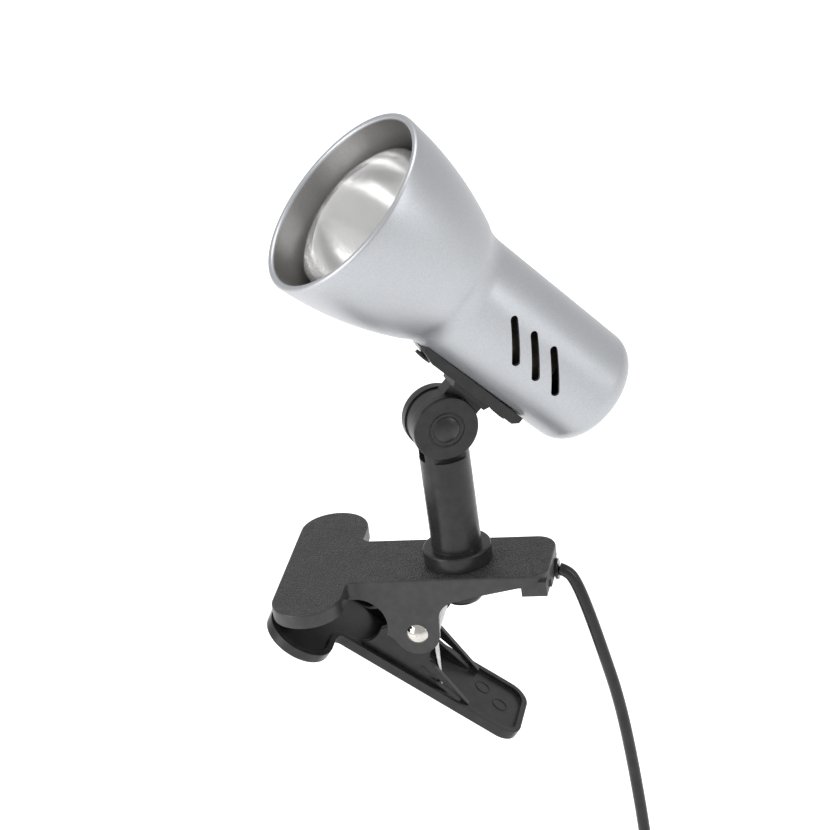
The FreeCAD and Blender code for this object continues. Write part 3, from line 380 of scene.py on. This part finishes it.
def coil_turns():
    """Whole turns round the coil's middle, each one strand further round the bundle, from the right side."""
    ring = CORD_WIDTH / 2 / math.sin(math.pi / COIL["strands"])
    whole = COIL["strands"] - 1 + COIL["enter"] / 360
    count = round(whole * COIL["steps"])
    points = []
    for i in range(count + 1):
        turned = whole * i / count
        along = math.radians(COIL["enter"]) - 2 * math.pi * turned
        slot = 2 * math.pi * turned / COIL["strands"]
        radius = COIL["middle"] + ring * math.cos(slot)
        points.append(
            (
                COIL["x"] + radius * math.cos(along),
                EXIT_Y + ring * math.sin(slot),
                COIL["z"] + radius * math.sin(along),
            )
        )
    return points


def cord_curve(pieces):
    points = [*DROP_ROUTE, *HANG_ROUTE, *coil_turns(), *TAIL_ROUTE]
    data = bpy.data.curves.new("cord", "CURVE")
    data.dimensions = "3D"
    data.bevel_depth = CORD_WIDTH / 2 * MM
    data.bevel_resolution = 6
    data.use_fill_caps = True
    line = data.splines.new("NURBS")
    line.points.add(len(points) - 1)
    for spot, point in zip(line.points, points):
        spot.co = (*(Vector(point) * MM), 1)
    line.order_u = 3
    line.use_endpoint_u = True
    line.resolution_u = 8
    curve = bpy.data.objects.new("cord", data)
    scene.collection.objects.link(curve)
    data.materials.append(MATERIALS["cord"])
    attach(curve, "clamp")
    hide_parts("cord_drop", "cord_hang", "cord_coil", "cord_tail")
    return curve


# ---------------------------------------------------------------- mesh helpers
def turn(axis, degrees):
    return Matrix.Rotation(math.radians(degrees), 4, axis)


def shift(x, y, z):
    return Matrix.Translation(Vector((x, y, z)) * MM)


def add_piece(
    name, points, faces, kinds, body, place=Matrix(), replaced=(), face_kinds=None, crease=35
):
    """A mesh piece with its points in millimetres in the frame that place gives.

    A piece with no body is attached to none.
    """
    mesh = bpy.data.meshes.new(name)
    mesh.from_pydata([place @ (Vector(point) * MM) for point in points], [], faces)
    for kind in kinds:
        mesh.materials.append(MATERIALS[kind])
    if face_kinds:
        mesh.polygons.foreach_set("material_index", face_kinds)
    made = bpy.data.objects.new(name, mesh)
    scene.collection.objects.link(made)
    tidy(mesh, crease)
    if body:
        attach(made, body)
    if replaced:
        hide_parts(*replaced)
    return made


def tidy(mesh, crease):
    """Merges doubled points, points the faces outwards and shades smooth up to the crease angle."""
    work = bmesh.new()
    work.from_mesh(mesh)
    bmesh.ops.remove_doubles(work, verts=work.verts, dist=0.002 * MM)
    bmesh.ops.dissolve_degenerate(work, edges=work.edges, dist=0.001 * MM)
    bmesh.ops.recalc_face_normals(work, faces=work.faces)
    work.to_mesh(mesh)
    work.free()
    mesh.shade_smooth()
    mesh.set_sharp_from_angle(angle=math.radians(crease))


def profile(points, steps=6):
    """Points of an outline in which (x, r, bulge) starts an arc whose height over its chord is bulge.

    A positive bulge lies on the left of the way to the next point.
    """
    made = []
    for i, point in enumerate(points):
        made.append((point[0], point[1]))
        if len(point) == 2 or i + 1 == len(points):
            continue
        ax, ay = point[0], point[1]
        bx, by = points[i + 1][0], points[i + 1][1]
        chord = math.hypot(bx - ax, by - ay)
        rise = point[2]
        radius = (chord**2 / 4 + rise**2) / (2 * abs(rise))
        half = math.asin(min(1.0, chord / 2 / radius))
        if abs(rise) > chord / 2:
            half = math.pi - half
        side = 1 if rise > 0 else -1
        ux, uy = (bx - ax) / chord, (by - ay) / chord
        nx, ny = -uy * side, ux * side
        cx = (ax + bx) / 2 + nx * (abs(rise) - radius)
        cy = (ay + by) / 2 + ny * (abs(rise) - radius)
        for k in range(1, steps):
            a = half * (2 * k / steps - 1)
            made.append(
                (
                    cx + radius * (math.sin(a) * ux + math.cos(a) * nx),
                    cy + radius * (math.sin(a) * uy + math.cos(a) * ny),
                )
            )
    return made


def sagitta(chord, radius):
    return radius - math.sqrt(radius**2 - chord**2 / 4)


def revolve(outline, sides=96, closed=True):
    """Points and faces of an outline in X and radius turned about X."""
    points = []
    for x, r in outline:
        for k in range(sides):
            a = 2 * math.pi * k / sides
            points.append((x, r * math.cos(a), r * math.sin(a)))
    faces = []
    last = len(outline) if closed else len(outline) - 1
    for i in range(last):
        j = (i + 1) % len(outline)
        for k in range(sides):
            m = (k + 1) % sides
            faces.append((i * sides + k, i * sides + m, j * sides + m, j * sides + k))
    return points, faces


def sweep(line, radius, sides=12):
    """A capped tube along points in millimetres."""
    spots = [Vector(point) for point in line]
    ahead = (spots[1] - spots[0]).normalized()
    up = ahead.orthogonal().normalized()
    points = []
    for i, spot in enumerate(spots):
        before, after = spots[max(i - 1, 0)], spots[min(i + 1, len(spots) - 1)]
        along = (after - before).normalized()
        up = (up - up.dot(along) * along).normalized()
        side = along.cross(up)
        for k in range(sides):
            a = 2 * math.pi * k / sides
            points.append(spot + radius * (math.cos(a) * up + math.sin(a) * side))
    faces = []
    for i in range(len(spots) - 1):
        for k in range(sides):
            m = (k + 1) % sides
            faces.append((i * sides + k, i * sides + m, (i + 1) * sides + m, (i + 1) * sides + k))
    faces.append(tuple(reversed(range(sides))))
    faces.append(tuple((len(spots) - 1) * sides + k for k in range(sides)))
    return points, faces


def joined(*parts):
    """The points and faces of several meshes as one."""
    points, faces = [], []
    for more_points, more_faces in parts:
        faces += [tuple(index + len(points) for index in face) for face in more_faces]
        points += more_points
    return points, faces


# ---------------------------------------------------------------- lamp head
HINGE = Vector(joint("head_tilt")["pos_m"])
SWIVEL, TILT = 208.0, 49.5
HEAD = Matrix.Translation(HINGE) @ turn("Z", SWIVEL) @ turn("Y", -TILT)
FRONT, AXIS = 93.6, 44.7  # the mouth ahead of the hinge, and the head's axis above it
SHADE = HEAD @ shift(FRONT, 0, AXIS) @ turn("Z", 180)  # X runs back from the mouth
LENGTH = 140.0
WALL = 1.3
MOUTH = 40.3
BEAD = 1.4
BELL_END = (52.0, 28.6)
NECK = (63.0, 25.2)
TAIL = 24.2
TAIL_ROUND = 10.0
BELL_ARC, NECK_ARC = 150.0, 22.0
VENTS = {"first": 83.2, "pitch": 11.0, "length": 21.0, "width": 3.2, "slant": 45.0}


def shade_piece():
    bell = sagitta(math.dist((BEAD, MOUTH), BELL_END), BELL_ARC)
    neck = sagitta(math.dist(BELL_END, NECK), NECK_ARC)
    corner = sagitta(math.hypot(TAIL_ROUND, TAIL_ROUND), TAIL_ROUND)
    inner_round = TAIL_ROUND - WALL
    inner_corner = sagitta(math.hypot(inner_round, inner_round), inner_round)
    inner_end = (BELL_END[0] - 0.4, BELL_END[1] - WALL)
    inner_neck = (NECK[0], NECK[1] - WALL)
    outside = profile(
        [
            (BEAD, MOUTH - 2 * BEAD, 1.999 * BEAD / 2),
            (BEAD, MOUTH, bell),
            (*BELL_END, -neck),
            NECK,
            (LENGTH - TAIL_ROUND, TAIL, corner),
            (LENGTH, TAIL - TAIL_ROUND),
            (LENGTH, 8.0),
            (LENGTH, 0.5),
        ],
        14,
    )
    inside = profile(
        [
            (LENGTH - WALL, 0.5),
            (LENGTH - WALL, 8.0),
            (LENGTH - WALL, TAIL - TAIL_ROUND, -inner_corner),
            (LENGTH - TAIL_ROUND, TAIL - WALL),
            (*inner_neck, sagitta(math.dist(inner_neck, inner_end), NECK_ARC)),
            (*inner_end, -sagitta(math.dist(inner_end, (BEAD, MOUTH - 2 * BEAD)), BELL_ARC)),
        ],
        14,
    )
    sides = 160
    outline = outside + inside
    points, faces = revolve(outline, sides)
    # Inside faces take the darker silver copy, painted shade inside the cup.
    kinds = [0 if i // sides < len(outside) - 1 else 1 for i in range(len(faces))]
    shell = add_piece(
        "shade_shell",
        points,
        faces,
        ["silver", "silver_inside_painted_shade"],
        "head",
        SHADE,
        ["shade"],
        kinds,
    )
    cut_vents(shell)


def cut_vents(shell):
    """Cuts the three slanted slots through each side of the shell and rounds their edges."""
    steps = 10
    reach = VENTS["length"] / 2 - VENTS["width"] / 2
    radius = VENTS["width"] / 2
    cutters = []
    for side in (1, -1):
        for i in range(3):
            middle = VENTS["first"] + i * VENTS["pitch"]
            ring = []
            for end in (1, -1):
                for k in range(steps + 1):
                    a = math.pi * (k / steps - 0.5) + (0 if end == 1 else math.pi)
                    along = end * reach + radius * math.cos(a)
                    across = radius * math.sin(a)
                    slant = math.radians(VENTS["slant"])
                    ring.append(
                        (
                            middle + along * math.cos(slant) + across * math.sin(slant),
                            -along * math.sin(slant) + across * math.cos(slant),
                        )
                    )
            n = len(ring)
            points = [(x, side * depth, z) for depth in (15.0, 32.0) for x, z in ring]
            faces = [tuple(range(n)), tuple(reversed(range(n, 2 * n)))]
            faces += [(k, (k + 1) % n, n + (k + 1) % n, n + k) for k in range(n)]
            mesh = bpy.data.meshes.new("vent_cutter")
            mesh.from_pydata([SHADE @ (Vector(point) * MM) for point in points], [], faces)
            tidy(mesh, 30)
            cutter = bpy.data.objects.new("vent_cutter", mesh)
            scene.collection.objects.link(cutter)
            cutters.append(cutter)
    for cutter in cutters:
        slot = shell.modifiers.new("vent", "BOOLEAN")
        slot.operation = "DIFFERENCE"
        slot.solver = "EXACT"
        slot.object = cutter
    bpy.context.view_layer.update()
    result = bpy.data.meshes.new_from_object(shell.evaluated_get(bpy.context.evaluated_depsgraph_get()))
    shell.modifiers.clear()
    shell.data = result
    for cutter in cutters:
        bpy.data.objects.remove(cutter)
    tidy(result, 35)
    edge = shell.modifiers.new("vent_edges", "BEVEL")
    edge.limit_method = "ANGLE"
    edge.angle_limit = math.radians(50)
    edge.width = 0.3 * MM
    edge.segments = 2
    edge.use_clamp_overlap = True


def bulb_pieces():
    """A reflector bulb: a thin glass envelope, its silvered back, its mount, wires and filament."""
    front, dome, rim, equator, widest = 0.0, 9.5, 30.1, 13.5, 31.5
    neck_at, neck, seat, seat_radius = 62.0, 15.5, 80.0, 12.2
    shoulder = sagitta(math.dist((front + dome, rim), (equator, widest)), 5.0)
    belly = sagitta(math.dist((equator, widest), (neck_at - 18, neck + 7)), 60.0)
    waist = sagitta(math.dist((neck_at - 18, neck + 7), (neck_at, neck)), 34.0)
    outer = profile(
        [
            (front, 0.02, sagitta(math.hypot(dome, rim), (rim**2 + dome**2) / (2 * dome))),
            (front + dome, rim, shoulder),
            (equator, widest, belly),
            (neck_at - 18, neck + 7, -waist),
            (neck_at, neck),
            (seat, seat_radius),
        ],
        14,
    )
    points, faces = revolve(outer, 128, closed=False)
    add_piece("bulb_envelope", points, faces, ["glass"], "head", SHADE, ["bulb_glass"])
    thin = 0.5
    mirror = profile(
        [
            (equator + 0.5, widest - thin, belly),
            (neck_at - 18, neck + 7 - thin, -waist),
            (neck_at, neck - thin),
            (seat, seat_radius - thin),
            (seat, 0.02),
        ],
        14,
    )
    points, faces = revolve(mirror, 128, closed=False)
    add_piece("bulb_reflector", points, faces, ["mirror"], "head", SHADE)
    stem = profile([(48.0, 0.02), (48.0, 3.0), (52.0, 4.6), (66.0, 5.0), (76.0, 10.5)], 4)
    points, faces = revolve(stem, 48, closed=False)
    add_piece("bulb_mount", points, faces, ["glass"], "head", SHADE)
    for name, sign in (("left", -1), ("right", 1)):
        wire = [(60.0, 0, sign * 2.2), (48.0, 0, sign * 2.6), (39.0, 0, sign * 7.0), (32.0, 0, sign * 11.5)]
        points, faces = sweep(wire, 0.35, 8)
        add_piece(f"bulb_wire_{name}", points, faces, ["nickel"], "head", SHADE)
    turns, steps = 36, 8
    filament = []
    for i in range(turns * steps + 1):
        t = i / (turns * steps)
        a = 2 * math.pi * i / steps
        bow = 2.4 * math.sin(math.pi * t)
        filament.append((32.0 + bow + 0.42 * math.cos(a), 0.42 * math.sin(a), -11.5 + 23.0 * t))
    points, faces = sweep(filament, 0.09, 5)
    add_piece("bulb_filament", points, faces, ["tungsten"], "head", SHADE)


# ---------------------------------------------------------------- clamp and plug
PIN_SIDE = 9.5
PLATE, WIRE, LEG_GAP = 3.0, 1.1, 0.4
PIVOT = Vector(joint("jaw_open")["pos_m"]) / MM
SLOPE = 37.2
JAW_TOP = 6.0
LOWER_DEPTH = 22.7
SPRING_SIDE = 10.4
LOWER = Matrix.Translation(PIVOT * MM) @ turn("Y", SLOPE)


def jaw_spring():
    """One wound wire: a leg under the plate on the far side, eight turns, and a leg on the lower lever."""
    radius, width, turns, steps = 7.0, SPRING_SIDE, 8, 28
    slope = math.radians(SLOPE)
    down = Vector((math.cos(slope), 0, -math.sin(slope)))
    inward = Vector((math.sin(slope), 0, math.cos(slope)))
    centre = Vector((PIVOT.x, 0, PIVOT.z))
    roof = JAW_TOP - PIVOT.z - PLATE - WIRE - LEG_GAP
    floor = LOWER_DEPTH - PLATE - WIRE - LEG_GAP
    upper_tip = centre + Vector((25.0, width, roof))
    upper_foot = centre + Vector((radius, width, 1.0))
    lower_tip = centre + 20.0 * down - floor * inward + Vector((0, -width, 0))
    lower_foot = centre + radius * down + Vector((0, -width, 0))
    whole = turns - (SLOPE / 360)
    coil = []
    count = round(whole * steps)
    for i in range(count + 1):
        t = i / count
        a = 2 * math.pi * whole * t
        coil.append(centre + Vector((radius * math.cos(a), width * (1 - 2 * t), radius * math.sin(a))))
    line = [upper_tip, upper_tip.lerp(upper_foot, 0.5), upper_foot, *coil[2:-2], lower_foot]
    line += [lower_foot.lerp(lower_tip, 0.5), lower_tip]
    points, faces = sweep(line, WIRE, 14)
    return add_piece(
        "jaw_spring",
        points,
        faces,
        ["steel"],
        None,
        replaced=["jaw_spring_upper", "jaw_spring_lower"],
        crease=60,
    )


def coil_tie():
    """A flat strip wound twice round the coil, with its two ends twisted together."""
    middle = Vector((COIL["x"] - COIL["middle"], EXIT_Y, COIL["z"]))
    bundle = CORD_WIDTH / 2 / math.sin(math.pi / COIL["strands"]) + CORD_WIDTH / 2 + 0.6
    line = []
    for i in range(61):
        a = 2 * math.pi * 2 * i / 60
        line.append(middle + Vector((bundle * math.cos(a), bundle * math.sin(a), 3.0 * (i / 60 - 0.5))))
    parts = [sweep(line, 0.55, 10)]
    for sign in (1, -1):
        tail = []
        for i in range(25):
            t = i / 24
            a = 2 * math.pi * 2.5 * t + (0 if sign == 1 else math.pi)
            tail.append(
                middle
                + Vector((-bundle - 0.3 - 11 * t, 0.75 * math.cos(a) + 3 * t * t, 0.75 * math.sin(a)))
            )
        parts.append(sweep(tail, 0.5, 8))
    points, faces = joined(*parts)
    return add_piece(
        "cord_tie", points, faces, ["switch"], "clamp", replaced=["coil_tie"], crease=60
    )


def lever_marks():
    """The raised rings that ejector pins leave on the lower lever's inner face."""
    floor = PLATE - LOWER_DEPTH
    for index, (x, y) in enumerate(((38.0, 5.5), (47.0, 0.5))):
        ring = []
        for k in range(49):
            a = 2 * math.pi * k / 48
            ring.append((x + 3.2 * math.cos(a), y + 3.2 * math.sin(a), floor + 0.05))
        points, faces = sweep(ring, 0.22, 8)
        add_piece(f"lever_mark_{index}", points, faces, ["black"], "lower_lever", LOWER)


def pair_of(part):
    """A part of a plug contact, once at each contact's place."""
    points, faces = part
    return joined(*(([(x, y + side * PIN_SIDE, z) for x, y, z in points], faces) for side in (-1, 1)))


def plug_pieces():
    """A flat moulded plug: a ribbed cuff that spreads into a hexagonal grip, with two sleeved pins."""
    place = Matrix.Translation(Vector(TAIL_ROUTE[-1]) * MM) @ turn("Y", 90)
    stations = [
        (0.0, 3.4, 3.4, 2.0),
        (1.0, 3.8, 3.8, 2.0),
        (9.0, 4.4, 4.2, 2.0),
        (13.0, 6.0, 4.8, 2.4),
        (19.0, 10.2, 5.8, 3.0),
        (25.0, 12.9, 6.4, 3.6),
        (31.0, 13.4, 6.5, 4.0),
        (36.6, 13.2, 6.4, 4.0),
        (37.6, 12.7, 6.0, 4.0),
        (38.0, 11.8, 5.2, 4.0),
    ]
    sides = 48
    points = []
    for x, half_wide, half_thick, power in stations:
        for k in range(sides):
            a = 2 * math.pi * k / sides
            c, d = math.cos(a), math.sin(a)
            size = (abs(c) ** power + abs(d) ** power) ** (-1 / power)
            points.append((x, half_wide * size * c, half_thick * size * d))
    faces = []
    for i in range(len(stations) - 1):
        for k in range(sides):
            m = (k + 1) % sides
            faces.append((i * sides + k, i * sides + m, (i + 1) * sides + m, (i + 1) * sides + k))
    faces.append(tuple(reversed(range(sides))))
    faces.append(tuple((len(stations) - 1) * sides + k for k in range(sides)))
    body = add_piece(
        "plug_grip", points, faces, ["switch"], "clamp", place, ["plug_body"], crease=40
    )
    smooth = body.modifiers.new("smooth", "SUBSURF")
    smooth.levels = smooth.render_levels = 2
    extras = [body]
    for i in range(5):
        ring = [(2.6 + 1.9 * i, (3.95 + 0.12 * i) * math.cos(a), (3.9 + 0.09 * i) * math.sin(a))
                for a in (2 * math.pi * k / 32 for k in range(33))]
        points, faces = sweep(ring, 0.45, 8)
        extras.append(add_piece(f"plug_rib_{i}", points, faces, ["switch"], "clamp", place))
    pin = profile([(37.5, 0.02), (37.5, 2.0), (55.4, 2.0, 0.45), (57.0, 0.4), (57.0, 0.02)], 5)
    points, faces = pair_of(revolve(pin, 32, closed=False))
    pins = add_piece("plug_contacts", points, faces, ["nickel"], "clamp", place, ["plug_pins"])
    sleeve = profile([(37.5, 2.0), (37.5, 2.12), (47.0, 2.12), (47.3, 2.0)], 3)
    points, faces = pair_of(revolve(sleeve, 32, closed=False))
    sleeves = add_piece("plug_sleeves", points, faces, ["switch"], "clamp", place)
    return [*extras, pins, sleeves]


add_camera()
paint_nodes()
add_stage()
shade_piece()
bulb_pieces()
lever_marks()
spring = jaw_spring()
cord_curve([coil_tie(), *plug_pieces()])
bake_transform(spring)
